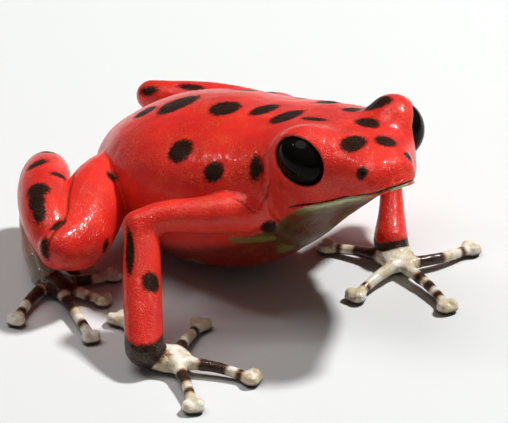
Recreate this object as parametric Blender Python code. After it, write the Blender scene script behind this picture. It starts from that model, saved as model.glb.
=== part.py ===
"""A strawberry poison dart frog that sits with its front end raised, still and life size.

Lengths in this file are millimetres in the frog's own frame: +X is forward, +Y is its left, +Z is up and the
floor is at z = 0. At the end every part is turned to metres, with the origin under the middle of the frog.
"""

import math

import bmesh
import bpy
import numpy as np
from mathutils import Matrix, Vector

MM = 0.001
GAP = 0.3
MIDDLE = Vector((5.50, -0.82, 0.0))

# The spine, from the vent to the snout: x, y and z of the axis, half width, height above the axis, depth
# below it, and how square the section is above and below.
SPINE = (
    (-2.30, -0.50, 2.50, 0.35, 0.35, 0.35, 2.0, 2.0),
    (-2.05, -0.50, 2.55, 1.30, 1.00, 0.95, 2.0, 2.0),
    (-1.30, -0.55, 2.75, 2.40, 1.80, 1.60, 2.0, 2.0),
    (0.20, -0.65, 3.25, 3.50, 2.50, 2.80, 2.0, 2.3),
    (2.20, -0.85, 3.95, 4.40, 3.10, 3.70, 2.1, 2.5),
    (4.60, -0.95, 4.60, 4.90, 3.25, 4.35, 2.1, 2.4),
    (7.00, -0.85, 5.30, 4.75, 3.00, 4.50, 2.1, 2.2),
    (9.00, -0.65, 6.00, 4.25, 2.75, 3.75, 2.2, 2.1),
    (10.60, -0.55, 6.65, 3.75, 2.50, 2.90, 2.5, 2.3),
    (12.10, -0.80, 7.20, 3.40, 2.25, 2.05, 2.9, 2.7),
    (13.40, -1.15, 7.60, 2.95, 2.05, 1.50, 2.9, 2.6),
    (14.60, -1.55, 7.95, 2.25, 1.70, 1.00, 2.7, 2.4),
    (15.40, -1.86, 8.18, 1.72, 1.42, 0.70, 2.6, 2.2),
    (15.90, -2.03, 8.32, 1.38, 1.20, 0.52, 2.4, 2.0),
    (16.22, -2.12, 8.40, 1.05, 0.92, 0.40, 2.2, 2.0),
    (16.48, -2.19, 8.46, 0.45, 0.40, 0.20, 2.0, 2.0),
)
TORSO_STEP = 0.65
HEAD_STEP = 0.42
BODY_SIDES = 32
NECK_FROM_SNOUT = 6.4

# The eyes: the middle of each ball and the way it looks.
EYES = {
    "right": ((12.10, -3.20, 8.50), (0.21, -0.93, 0.29)),
    "left": ((13.45, 1.50, 8.65), (0.72, 0.69, 0.05)),
}
EYE_RADIUS = 1.25
EYE_GAP = 0.2
LID_THICKNESS = 0.35
LID_OPENING_DEPTH = 0.55

# The mouth: how far back from the snout it is, and its angle below the widest line of the head.
MOUTH = ((0.0, 27.0), (0.34, 30.5), (0.90, 38.5), (1.70, 41.5), (2.22, 39.5), (2.70, 36.6), (3.24, 33.3),
         (3.80, 29.2), (4.54, 25.6), (4.90, 24.0))
LIP_RADIUS = 0.15
MOUTH_GROOVE_RADIUS = 0.11
NOSTRIL_RADIUS = 0.17
NOSTRILS = ((15.40, -3.15, 8.90), (16.13, -0.78, 9.10))

# Each length of limb: x, y, z and radius along its middle.
LIMBS = {
    "upper_arm_right": (
        (9.55, -4.60, 5.45, 1.00), (8.4, -6.0, 5.4, 0.84), (6.9, -7.6, 5.3, 0.72), (6.4, -8.3, 5.0, 0.75)),
    "forearm_right": (
        (6.6, -8.3, 4.7, 0.80), (7.6, -9.4, 3.3, 0.88), (8.7, -10.5, 2.1, 0.88), (9.45, -11.25, 1.1, 0.88)),
    "upper_arm_left": (
        (9.4, 2.6, 5.4, 1.00), (9.2, 4.8, 5.3, 0.80), (9.0, 6.5, 5.0, 0.70), (9.0, 7.2, 4.7, 0.68)),
    "forearm_left": (
        (8.9, 7.0, 4.4, 0.66), (9.5, 5.9, 3.2, 0.52), (10.5, 4.72, 2.0, 0.60), (11.28, 3.78, 1.1, 0.82)),
    "thigh_right": (
        (0.6, -2.4, 3.3, 1.50), (0.85, -5.0, 3.65, 1.42), (1.95, -7.1, 3.3, 1.58),
        (2.8, -8.8, 3.1, 1.38), (3.0, -10.05, 3.3, 1.00)),
    "thigh_left": (
        (0.4, 1.1, 3.0, 1.50), (1.0, 3.6, 3.3, 1.45), (1.3, 5.6, 3.1, 1.45),
        (1.3, 7.2, 2.8, 1.15), (1.3, 7.9, 2.6, 0.85)),
    "shank_right": (
        (2.7, -9.9, 3.0, 0.85), (1.45, -9.2, 3.6, 1.12), (-0.25, -7.75, 3.8, 1.24),
        (-2.3, -5.5, 3.45, 1.06), (-3.0, -4.8, 3.05, 0.85)),
    "shank_left": (
        (1.3, 7.8, 2.5, 0.85), (-0.6, 6.9, 2.7, 1.00), (-2.4, 6.0, 2.8, 0.98),
        (-4.2, 5.0, 2.76, 0.88), (-5.05, 4.7, 2.74, 0.76)),
    "tarsus_right": (
        (-3.1, -5.1, 2.5, 0.55), (-1.95, -7.0, 2.1, 0.50), (-0.35, -8.45, 1.3, 0.50),
        (1.0, -9.1, 0.75, 0.55)),
    "tarsus_left": (
        (-5.0, 4.8, 2.25, 0.55), (-3.6, 6.3, 1.8, 0.50), (-1.4, 7.3, 1.2, 0.50), (0.1, 7.6, 0.75, 0.55)),
}
LIMB_STEP = 0.75
LIMB_DOME_ANGLES = (38.0, 70.0)

# The palms and soles, as middle, direction of the long axis in degrees, and half sizes, and their digits.
PALMS = {
    "hand_right": ((10.35, -10.50, 0.50), 35.0, (1.05, 0.84, 0.52)),
    "hand_left": ((12.02, 3.42, 0.50), -45.0, (0.98, 0.80, 0.52)),
    "foot_right": ((1.55, -9.05, 0.50), -10.0, (1.15, 0.75, 0.52)),
    "foot_left": ((0.55, 7.55, 0.50), 10.0, (1.15, 0.75, 0.52)),
}
DIGITS = {
    "hand_right": (
        ((10.1, -10.3, 0.55), (8.2, -9.8, 0.45), (5.9, -9.2, 0.25)),
        ((10.3, -10.1, 0.55), (9.7, -8.8, 0.48), (9.05, -7.1, 0.25)),
        ((11.1, -10.3, 0.55), (12.5, -9.5, 0.45), (13.85, -9.0, 0.25)),
        ((11.1, -10.8, 0.55), (12.4, -11.6, 0.45), (13.55, -12.45, 0.25)),
    ),
    "hand_left": (
        ((11.7, 3.0, 0.55), (10.2, 2.8, 0.45), (8.65, 2.3, 0.25)),
        ((12.4, 2.5, 0.55), (12.5, 1.1, 0.48), (12.6, -0.2, 0.25)),
        ((13.1, 2.9, 0.55), (14.7, 2.5, 0.45), (16.3, 1.85, 0.25)),
        ((12.9, 3.5, 0.55), (13.5, 5.0, 0.45), (13.75, 6.65, 0.25)),
    ),
    "foot_right": (
        ((1.3, -8.7, 0.50), (1.6, -7.8, 0.42), (1.7, -6.9, 0.25)),
        ((1.9, -8.7, 0.50), (2.5, -7.7, 0.42), (2.9, -6.5, 0.25)),
        ((2.2, -9.0, 0.50), (3.2, -8.8, 0.42), (4.1, -8.45, 0.25)),
        ((2.0, -9.3, 0.50), (3.6, -10.0, 0.45), (6.0, -11.2, 0.25)),
        ((1.4, -9.4, 0.50), (1.8, -10.9, 0.42), (2.4, -12.35, 0.25)),
    ),
}
FOOT_SHIFT = (-1.0, -1.5)
DIGIT_RADIUS = 0.29
DIGIT_STEP = 0.8
DISC_HALF_SIZES = (0.50, 0.58, 0.30)
SCUTE_HALF_SIZES = (0.30, 0.23, 0.18)
SCUTE_OFFSETS = (0.10, 0.25, 0.20)

# Base colour and roughness of each material.
COLOURS = {
    "skin_red": ((0.75, 0.045, 0.03, 1.0), 0.3),
    "skin_cream": ((0.62, 0.56, 0.44, 1.0), 0.4),
    "eye_black": ((0.01, 0.008, 0.008, 1.0), 0.06),
}


def clear_scene():
    """Remove everything that is in the scene."""
    for old in list(bpy.data.objects):
        bpy.data.objects.remove(old)


def add_object(name, mesh, collection):
    """Put a mesh into the scene as an object of its own."""
    obj = bpy.data.objects.new(name, mesh)
    collection.objects.link(obj)
    return obj


def smooth_path(points, step):
    """Points about a step apart on a smooth curve through the given ones, with the radii blended."""
    points = np.array(points, dtype=float)
    lengths = np.linalg.norm(np.diff(points[:, :3], axis=0), axis=1)
    along = np.concatenate(([0.0], np.cumsum(lengths)))
    slopes = np.gradient(points, along, axis=0)
    at = np.linspace(0.0, along[-1], max(3, round(along[-1] / step) + 1))
    span = np.clip(np.searchsorted(along, at, side="right") - 1, 0, len(points) - 2)
    length = lengths[span][:, None]
    t = (at - along[span])[:, None] / length
    start = points[span] * (1.0 + 2.0 * t) * (1.0 - t) ** 2 + slopes[span] * length * t * (1.0 - t) ** 2
    end = points[span + 1] * t * t * (3.0 - 2.0 * t) + slopes[span + 1] * length * t * t * (t - 1.0)
    return start + end


def path_directions(points):
    """Unit directions along a path."""
    directions = np.gradient(np.array(points)[:, :3], axis=0)
    return directions / np.linalg.norm(directions, axis=1)[:, None]


def section_point(row, angle, grow=0.0):
    """The skin's point at an angle round a section of the spine, 0 on the frog's left, 90 on its back."""
    forward = Vector(row[8:11]).normalized()
    up = Vector((0.0, 0.0, 1.0))
    up = (up - forward * up.dot(forward)).normalized()
    side = up.cross(forward)
    half_width, above, below, square_above, square_below = row[3:8]
    cosine = math.cos(math.radians(angle))
    sine = math.sin(math.radians(angle))
    square = square_above if sine > 0.0 else square_below
    height = (above if sine > 0.0 else below) + grow
    across = (half_width + grow) * math.copysign(abs(cosine) ** (2.0 / square), cosine)
    upward = height * math.copysign(abs(sine) ** (2.0 / square), sine)
    return Vector(row[:3]) + side * across + up * upward


def loft(name, rings, collection):
    """A closed skin over rings of points."""
    mesh = bpy.data.meshes.new(name)
    bm = bmesh.new()
    loops = [[bm.verts.new(point) for point in ring] for ring in rings]
    count = len(loops[0])
    for lower, upper in zip(loops, loops[1:]):
        for i in range(count):
            j = (i + 1) % count
            bm.faces.new((lower[i], lower[j], upper[j], upper[i]))
    bm.faces.new(reversed(loops[0]))
    bm.faces.new(loops[-1])
    bmesh.ops.recalc_face_normals(bm, faces=bm.faces)
    bm.to_mesh(mesh)
    bm.free()
    return add_object(name, mesh, collection)


def fine_spine():
    """Close sections of the whole spine, each with its direction, and how far each is from the snout."""
    rows = smooth_path(SPINE, 0.05)
    lengths = np.linalg.norm(np.diff(rows[:, :3], axis=0), axis=1)
    to_snout = np.concatenate((np.cumsum(lengths[::-1])[::-1], [0.0]))
    return np.hstack((rows, path_directions(rows))), to_snout


def spine_row(distance):
    """The section of the spine at a distance from the snout."""
    rows, to_snout = fine_spine()
    return np.array([np.interp(distance, to_snout[::-1], column[::-1]) for column in rows.T])


def spine_rows(far, near, step):
    """Sections about a step apart between two distances from the snout."""
    rows, to_snout = fine_spine()
    wanted = np.linspace(far, near, max(2, round((far - near) / step)) + 1)
    return np.array([np.interp(wanted, to_snout[::-1], column[::-1]) for column in rows.T]).T


def trunk_rows():
    """The sections from the vent to the neck."""
    return spine_rows(fine_spine()[1][0], NECK_FROM_SNOUT + GAP / 2.0, TORSO_STEP)


def head_rows():
    """The sections from the neck to the snout."""
    return spine_rows(NECK_FROM_SNOUT - GAP / 2.0, 0.0, HEAD_STEP)


def body_rings(rows, grow=0.0):
    """Rings of skin points round the given sections."""
    angles = [360.0 * i / BODY_SIDES for i in range(BODY_SIDES)]
    return [[section_point(row, angle, grow) for angle in angles] for row in rows]


def grown_body(name, collection):
    """The whole body made larger by the gap, which clears its neighbours."""
    rows = np.concatenate((trunk_rows(), head_rows()))
    rows[0, :3] -= rows[0, 8:11] * GAP
    rows[-1, :3] += rows[-1, 8:11] * GAP
    return loft(name, body_rings(rows, GAP), collection)


def tube(name, points, step, bevel_resolution, collection, grow=0.0):
    """A round tube through x, y, z and radius, with domed ends."""
    rows = smooth_path(points, step)
    rows[:, 3] += grow
    directions = path_directions(rows)
    domes = []
    for row, direction in ((rows[0], -directions[0]), (rows[-1], directions[-1])):
        dome = []
        for angle in LIMB_DOME_ANGLES:
            out = row[3] * math.sin(math.radians(angle))
            dome.append((*(row[:3] + direction * out), row[3] * math.cos(math.radians(angle))))
        domes.append(dome)
    rows = domes[0][::-1] + [tuple(row) for row in rows] + domes[1]
    curve = bpy.data.curves.new(name, "CURVE")
    curve.dimensions = "3D"
    curve.bevel_depth = 1.0
    curve.bevel_resolution = bevel_resolution
    curve.use_fill_caps = True
    spline = curve.splines.new("POLY")
    spline.points.add(len(rows) - 1)
    for point, row in zip(spline.points, rows):
        point.co = (*row[:3], 1.0)
        point.radius = row[3]
    guide = add_object(name + "_curve", curve, collection)
    return mesh_of(guide, name, collection)


def mesh_of(guide, name, collection):
    """A closed mesh object in place of a curve or of an object with modifiers."""
    bpy.context.view_layer.update()
    evaluated = guide.evaluated_get(bpy.context.evaluated_depsgraph_get())
    mesh = bpy.data.meshes.new_from_object(evaluated)
    bm = bmesh.new()
    bm.from_mesh(mesh)
    bmesh.ops.remove_doubles(bm, verts=bm.verts, dist=1e-5)
    bm.to_mesh(mesh)
    bm.free()
    matrix = guide.matrix_world.copy()
    bpy.data.objects.remove(guide)
    obj = add_object(name, mesh, collection)
    obj.matrix_world = matrix
    return obj


def ellipsoid(name, centre, axes, half_sizes, segments, rings, collection):
    """A stretched sphere on three given axes."""
    turn = Matrix([axis.normalized() for axis in axes]).transposed().to_4x4()
    matrix = Matrix.Translation(centre) @ turn @ Matrix.Diagonal((*half_sizes, 1.0))
    mesh = bpy.data.meshes.new(name)
    bm = bmesh.new()
    bmesh.ops.create_uvsphere(bm, u_segments=segments, v_segments=rings, radius=1.0, matrix=matrix)
    bm.to_mesh(mesh)
    bm.free()
    return add_object(name, mesh, collection)


def upright_axes(direction):
    """Axes forward, to the left and up for a level direction."""
    forward = Vector((direction[0], direction[1], 0.0)).normalized()
    up = Vector((0.0, 0.0, 1.0))
    return forward, up.cross(forward), up


def plug(name, centre, direction, radius, depth, collection):
    """A round plug that starts at a point and goes one way."""
    turn = Vector(direction).to_track_quat("Z", "Y").to_matrix().to_4x4()
    middle = Vector(centre) + Vector(direction).normalized() * depth / 2.0
    mesh = bpy.data.meshes.new(name)
    bm = bmesh.new()
    bmesh.ops.create_cone(bm, cap_ends=True, segments=18, radius1=radius, radius2=radius, depth=depth,
                          matrix=Matrix.Translation(middle) @ turn)
    bm.to_mesh(mesh)
    bm.free()
    return add_object(name, mesh, collection)


def box(name, low, high, collection):
    """A box between two corners."""
    low, high = Vector(low), Vector(high)
    mesh = bpy.data.meshes.new(name)
    bm = bmesh.new()
    bmesh.ops.create_cube(bm, size=1.0, matrix=Matrix.Translation((low + high) / 2.0)
                          @ Matrix.Diagonal((*(high - low), 1.0)))
    bm.to_mesh(mesh)
    bm.free()
    return add_object(name, mesh, collection)


def boolean(target, others, operation, collection):
    """Join the other objects to the target or cut them out of it, and take them away."""
    if not others:
        return target
    group = bpy.data.collections.new(target.name + "_" + operation.lower())
    bpy.context.scene.collection.children.link(group)
    for other in others:
        for holder in list(other.users_collection):
            holder.objects.unlink(other)
        group.objects.link(other)
    modifier = target.modifiers.new(operation.lower(), "BOOLEAN")
    modifier.operation = operation
    modifier.operand_type = "COLLECTION"
    modifier.collection = group
    modifier.solver = "EXACT"
    name = target.name
    target.name = name + "_raw"
    result = mesh_of(target, name, collection)
    for other in others:
        bpy.data.objects.remove(other)
    bpy.data.collections.remove(group)
    return result


def keep_largest(obj):
    """Keep only the closed surface with the most volume."""
    bm = bmesh.new()
    bm.from_mesh(obj.data)
    left = set(bm.verts)
    shells = []
    while left:
        stack = [left.pop()]
        shell = set(stack)
        while stack:
            for edge in stack.pop().link_edges:
                for vert in edge.verts:
                    if vert in left:
                        left.discard(vert)
                        shell.add(vert)
                        stack.append(vert)
        faces = {face for vert in shell for face in vert.link_faces}
        volume = sum(face.calc_center_median().dot(face.normal) * face.calc_area() for face in faces)
        shells.append((abs(volume), shell))
    largest = max(shells, key=lambda entry: entry[0])[1]
    bmesh.ops.delete(bm, geom=[vert for vert in bm.verts if vert not in largest], context="VERTS")
    bmesh.ops.dissolve_degenerate(bm, dist=1e-5, edges=bm.edges)
    bm.to_mesh(obj.data)
    bm.free()


def material(name):
    """A plain shaded material in the named colour."""
    found = bpy.data.materials.get(name)
    if found:
        return found
    made = bpy.data.materials.new(name)
    made.use_nodes = True
    colour, roughness = COLOURS[name]
    shader = made.node_tree.nodes["Principled BSDF"]
    shader.inputs["Base Color"].default_value = colour
    shader.inputs["Roughness"].default_value = roughness
    shader.inputs["Metallic"].default_value = 0.0
    made.diffuse_color = colour
    return made


def finish(obj, colour):
    """Drop scraps, smooth the shading and give the part its material."""
    keep_largest(obj)
    obj.data.shade_smooth()
    obj.data.set_sharp_from_angle(angle=math.radians(45.0))
    obj.data.materials.clear()
    obj.data.materials.append(material(colour))


def to_metres(objects):
    """Turn the parts from millimetres in the frog's frame to metres round the middle of its base."""
    change = Matrix.Scale(MM, 4) @ Matrix.Translation(-MIDDLE)
    for obj in objects:
        obj.data.transform(change @ obj.matrix_world)
        obj.matrix_world = Matrix.Identity(4)


def mouth_path():
    """The line of the mouth, from its right corner round the snout to its left corner."""
    back, angles = np.array(MOUTH).T
    right, left = [], []
    for distance in np.linspace(back[-1], 0.0, 12):
        row = spine_row(distance)
        angle = np.interp(distance, back, angles)
        right.append(section_point(row, 180.0 + angle))
        left.append(section_point(row, -angle))
    front = (right[-1] + left[-1]) / 2.0
    return right + [front] + left[::-1]


def make_torso(parts):
    """The trunk, from the vent to the neck."""
    return loft("torso", body_rings(trunk_rows()), parts)


def make_head(parts, cutters):
    """The head with its lids, lips, mouth and nostrils."""
    rows = head_rows()
    head = loft("head", body_rings(rows), parts)
    added, cut = [], []
    for side, (centre, look) in EYES.items():
        look = Vector(look).normalized()
        centre = Vector(centre)
        axes = upright_axes(look)
        lid = EYE_RADIUS + EYE_GAP + LID_THICKNESS
        added.append(ellipsoid("lid_" + side, centre - look * (lid - EYE_RADIUS - EYE_GAP * 1.5), axes,
                               (lid, lid, lid), 22, 14, cutters))
        socket = EYE_RADIUS + EYE_GAP
        cut.append(ellipsoid("socket_" + side, centre, axes, (socket, socket, socket), 18, 12, cutters))
        cut.append(plug("opening_" + side, centre + look * LID_OPENING_DEPTH, look, lid, 2.0, cutters))
    mouth = mouth_path()
    ends = len(mouth) - 1
    lip, groove = [], []
    for i, point in enumerate(mouth):
        fade = min(1.0, 0.35 + 0.65 * min(i, ends - i) / 3.0)
        lip.append((*point, LIP_RADIUS * fade))
        groove.append((*point, MOUTH_GROOVE_RADIUS * fade))
    added.append(tube("lips", lip, 0.4, 2, cutters))
    head = boolean(head, added, "UNION", parts)
    cut.append(tube("mouth", groove, 0.4, 1, cutters))
    cut.append(plug("behind_neck", rows[0][:3], -Vector(rows[0][8:11]), 8.0, 8.0, cutters))
    radii = (NOSTRIL_RADIUS,) * 3
    axes = upright_axes((1.0, 0.0))
    for i, centre in enumerate(NOSTRILS):
        cut.append(ellipsoid("nostril_%d" % i, Vector(centre), axes, radii, 8, 6, cutters))
    return boolean(head, cut, "DIFFERENCE", parts)


def make_eye(side, parts):
    """One eyeball."""
    centre, look = EYES[side]
    radii = (EYE_RADIUS,) * 3
    return ellipsoid("eye_" + side, Vector(centre), upright_axes(look), radii, 18, 12, parts)


def make_limb(name, neighbours, parts, cutters):
    """One length of limb, cleared from the parts it meets."""
    limb = tube(name, LIMBS[name], LIMB_STEP, 4, parts)
    cut = [grown(neighbour, cutters) for neighbour in neighbours]
    return boolean(limb, cut, "DIFFERENCE", parts)


def grown(name, cutters):
    """A part made larger by the gap, to cut its neighbour with."""
    if name == "body":
        return grown_body("body_clearance", cutters)
    return tube(name + "_clearance", LIMBS[name], LIMB_STEP, 4, cutters, GAP)


def digits_of(name):
    """The middle lines of the digits of one hand or foot."""
    if name != "foot_left":
        return DIGITS[name]
    return [[(x + FOOT_SHIFT[0], FOOT_SHIFT[1] - y, z) for x, y, z in line] for line in DIGITS["foot_right"]]


def make_hand(name, neighbours, parts, cutters):
    """A hand or foot: its palm and its digits with their discs and scutes, flat where they meet the floor."""
    centre, turn, half_sizes = PALMS[name]
    turn = math.radians(turn)
    palm = ellipsoid(name, Vector(centre), upright_axes((math.cos(turn), math.sin(turn))), half_sizes,
                     16, 10, parts)
    added = []
    for i, line in enumerate(digits_of(name)):
        label = "%s_digit_%d" % (name, i + 1)
        added.append(tube(label, [(*point, DIGIT_RADIUS) for point in line], DIGIT_STEP, 2, cutters))
        tip = Vector(line[-1])
        axes = upright_axes(tip - Vector(line[-2]))
        added.append(ellipsoid(label + "_disc", tip, axes, DISC_HALF_SIZES, 10, 6, cutters))
        along, across, above = SCUTE_OFFSETS
        for side in (-1.0, 1.0):
            place = tip + axes[0] * along + axes[1] * across * side + axes[2] * above
            added.append(ellipsoid(label + "_scute", place, axes, SCUTE_HALF_SIZES, 6, 5, cutters))
    palm = boolean(palm, added, "UNION", parts)
    cut = [grown(neighbour, cutters) for neighbour in neighbours]
    cut.append(box(name + "_floor", (-20.0, -20.0, -3.0), (30.0, 20.0, 0.0), cutters))
    return boolean(palm, cut, "DIFFERENCE", parts)


def build():
    """Make every part of the frog."""
    clear_scene()
    parts = bpy.data.collections.new("dart_frog")
    cutters = bpy.data.collections.new("dart_frog_cutters")
    bpy.context.scene.collection.children.link(parts)
    bpy.context.scene.collection.children.link(cutters)
    made = [(make_torso(parts), "skin_red"), (make_head(parts, cutters), "skin_red")]
    for side in ("left", "right"):
        made.append((make_eye(side, parts), "eye_black"))
        lengths = (("upper_arm_", ("body",)), ("forearm_", ("upper_arm_", "body")),
                   ("thigh_", ("body",)), ("shank_", ("thigh_", "body")), ("tarsus_", ("shank_", "thigh_")))
        for start, meets in lengths:
            near = [meet if meet == "body" else meet + side for meet in meets]
            made.append((make_limb(start + side, near, parts, cutters), "skin_red"))
        made.append((make_hand("hand_" + side, ["forearm_" + side], parts, cutters), "skin_cream"))
        made.append((make_hand("foot_" + side, ["tarsus_" + side], parts, cutters), "skin_cream"))
    for obj, colour in made:
        finish(obj, colour)
    to_metres([obj for obj, _ in made])


build()
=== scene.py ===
"""The looks of a strawberry poison dart frog, over its solids.

The forms repeat the solids' named sizes, in millimetres in the frog's own frame: +X is forward, +Y is its
left, +Z is up and the floor is at z = 0. One unbroken skin is drawn over them from a grid of distances.
"""

import math

import bmesh
import bpy
import numpy as np
import openvdb
from mathutils import Matrix, Vector


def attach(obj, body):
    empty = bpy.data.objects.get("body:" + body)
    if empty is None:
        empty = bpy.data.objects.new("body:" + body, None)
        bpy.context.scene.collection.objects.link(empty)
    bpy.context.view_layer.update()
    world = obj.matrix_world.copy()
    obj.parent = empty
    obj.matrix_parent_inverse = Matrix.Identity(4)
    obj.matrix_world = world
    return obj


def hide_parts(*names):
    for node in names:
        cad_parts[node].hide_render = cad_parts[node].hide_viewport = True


MM = 0.001
# The middle of the model's base, in the frog's own frame.
MIDDLE = np.array((5.50, -0.82, 0.0))
UP = np.array((0.0, 0.0, 1.0))
# The grid of distances: its two corners, its pitch and what it holds far from the frog.
GRID_LOW = (-6.6, -13.5, -0.35)
GRID_HIGH = (17.6, 12.0, 11.0)
VOXEL = 0.06
FAR = 3.0

# The body's sections from the vent to the snout: where its middle is, half its width, how far it reaches up
# and down, and how square it is above and below.
SPINE = (
    (-2.30, -0.50, 2.50, 0.35, 0.35, 0.35, 2.0, 2.0),
    (-2.05, -0.50, 2.55, 1.30, 1.00, 0.95, 2.0, 2.0),
    (-1.30, -0.55, 2.75, 2.40, 1.80, 1.60, 2.0, 2.0),
    (0.20, -0.65, 3.25, 3.50, 2.50, 2.80, 2.0, 2.3),
    (2.20, -0.85, 3.95, 4.40, 3.10, 3.70, 2.1, 2.5),
    (4.60, -0.95, 4.60, 4.90, 3.25, 4.35, 2.1, 2.4),
    (7.00, -0.85, 5.30, 4.75, 3.00, 4.50, 2.1, 2.2),
    (9.00, -0.65, 6.00, 4.25, 2.75, 3.75, 2.2, 2.1),
    (10.60, -0.55, 6.65, 3.75, 2.50, 2.90, 2.5, 2.3),
    (12.10, -0.80, 7.20, 3.40, 2.25, 2.05, 2.9, 2.7),
    (13.40, -1.15, 7.60, 2.95, 2.05, 1.50, 2.9, 2.6),
    (14.60, -1.55, 7.95, 2.25, 1.70, 1.00, 2.7, 2.4),
    (15.40, -1.86, 8.18, 1.72, 1.42, 0.70, 2.6, 2.2),
    (15.90, -2.01, 8.32, 1.48, 1.20, 0.52, 2.5, 2.0),
    (16.25, -2.08, 8.40, 1.26, 0.97, 0.41, 2.3, 2.0),
    (16.48, -2.13, 8.44, 0.92, 0.68, 0.29, 2.1, 2.0),
    (16.60, -2.16, 8.46, 0.45, 0.32, 0.14, 2.0, 2.0),
)
SPINE_STEP = 0.05
SPINE_MARGINS_BELOW = (0.5, 5.0, 4.6)
SPINE_MARGINS_ABOVE = (0.5, 5.0, 3.0)
END_ROUNDING = 0.04

# The skin's lumps and granules: how far they stand out, their wave length, how many waves and their seed.
LUMPS = (0.004, 0.75, 16, 3)
GRANULES = (0.0025, 0.26, 24, 5)
# The soft pleats in front of the shoulder: how far they stand out, how far apart they are, how far from the
# vent, over what length, and how far from the middle line they begin.
PLEATS = 0.010
PLEAT_PITCH = 0.75
PLEATS_AT = 13.6
PLEATS_REACH = 1.3
PLEATS_ASIDE = 2.0

# Each eye: middle, the way it looks, and the long way of its opening, which runs down and forward.
EYES = {
    "right": ((12.10, -3.20, 8.50), (0.21, -0.93, 0.29), (0.932, 0.102, -0.349)),
    "left": ((13.45, 1.50, 8.65), (0.72, 0.69, 0.05), (0.62, -0.62, -0.48)),
}
# Half sizes along the opening, across it and outwards, and the room that the skin leaves round the eye.
EYE_HALF_SIZES = (1.42, 1.20, 1.25)
EYE_ROOM = 0.015
# The lids over each eye: how far they reach along the opening, how far their middle is moved along it and
# into the head, and how softly they run into it. Then how far they reach across the opening and outwards.
LIDS = {"right": (1.68, 0.0, 0.12, 0.75), "left": (1.60, -0.10, 0.18, 0.62)}
LID_HALF_SIZES = (1.44, 1.36)
OPENING_HALF_SIZES = (1.33, 1.00)
OPENING_DEPTH = 0.1

# The mouth: how far back from the snout it is, and its angle below the widest line of the head.
MOUTH = ((0.0, 27.0), (0.34, 30.5), (0.90, 38.5), (1.70, 41.5), (2.22, 39.5), (2.70, 36.6), (3.24, 33.3),
         (3.80, 29.2), (4.54, 25.6), (4.90, 24.0))
MOUTH_FRONT = 0.12
MOUTH_GROOVE = 0.045
# The lower and the upper lip: how far above the mouth's line, how thick, and how softly they run into the
# skin.
LIPS = ((-0.11, 0.09, 0.14), (0.09, 0.05, 0.12))
NOSTRILS = ((15.40, -3.15, 8.90), (16.13, -0.78, 9.10))
NOSTRIL_RADIUS = 0.11

# Each length of limb: its middle line, with its radius.
LIMBS = {
    "upper_arm_right": (
        (9.55, -4.60, 5.45, 1.00), (8.4, -6.0, 5.4, 0.84), (6.9, -7.6, 5.3, 0.72), (6.4, -8.3, 5.0, 0.75)),
    "forearm_right": (
        (6.6, -8.3, 4.7, 0.80), (7.6, -9.4, 3.3, 0.88), (8.7, -10.5, 2.1, 0.88), (9.45, -11.25, 1.1, 0.88)),
    "upper_arm_left": (
        (9.4, 2.6, 5.4, 1.00), (9.2, 4.8, 5.3, 0.80), (9.0, 6.5, 5.0, 0.70), (9.0, 7.2, 4.7, 0.68)),
    "forearm_left": (
        (8.9, 7.0, 4.4, 0.66), (9.5, 5.9, 3.2, 0.52), (10.5, 4.72, 2.0, 0.60), (11.28, 3.78, 1.1, 0.82)),
    "thigh_right": (
        (0.6, -2.4, 3.3, 1.50), (0.85, -5.0, 3.65, 1.42), (1.95, -7.1, 3.3, 1.58),
        (2.8, -8.8, 3.1, 1.38), (3.0, -10.05, 3.3, 1.00)),
    "thigh_left": (
        (0.4, 1.1, 3.0, 1.50), (1.0, 3.6, 3.3, 1.45), (1.3, 5.6, 3.1, 1.45),
        (1.3, 7.2, 2.8, 1.15), (1.3, 7.9, 2.6, 0.85)),
    "shank_right": (
        (2.7, -9.9, 3.0, 0.85), (1.45, -9.2, 3.6, 1.12), (-0.25, -7.75, 3.8, 1.24),
        (-2.3, -5.5, 3.45, 1.06), (-3.0, -4.8, 3.05, 0.85)),
    "shank_left": (
        (1.3, 7.8, 2.5, 0.85), (-0.6, 6.9, 2.7, 1.00), (-2.4, 6.0, 2.8, 0.98),
        (-4.2, 5.0, 2.76, 0.88), (-5.05, 4.7, 2.74, 0.76)),
    "tarsus_right": (
        (-3.1, -5.1, 2.5, 0.55), (-1.95, -7.0, 2.1, 0.50), (-0.35, -8.45, 1.3, 0.50),
        (1.0, -9.1, 0.75, 0.55)),
    "tarsus_left": (
        (-5.0, 4.8, 2.25, 0.55), (-3.6, 6.3, 1.8, 0.50), (-1.4, 7.3, 1.2, 0.50), (0.1, 7.6, 0.75, 0.55)),
}
# How softly each length of limb runs into what is already there.
LIMB_BLENDS = (
    ("upper_arm_", 0.22), ("forearm_", 0.25), ("thigh_", 0.12), ("shank_", 0.06), ("tarsus_", 0.12))
LIMB_STEP = 0.12

# Each palm and sole: its middle, the way it points in degrees, and its half sizes.
PALMS = {
    "hand_right": ((10.35, -10.50, 0.50), 35.0, (1.05, 0.84, 0.52)),
    "hand_left": ((12.02, 3.42, 0.50), -45.0, (0.98, 0.80, 0.52)),
    "foot_right": ((1.55, -9.05, 0.50), -10.0, (1.15, 0.75, 0.52)),
    "foot_left": ((0.55, 7.55, 0.50), 10.0, (1.15, 0.75, 0.52)),
}
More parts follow.
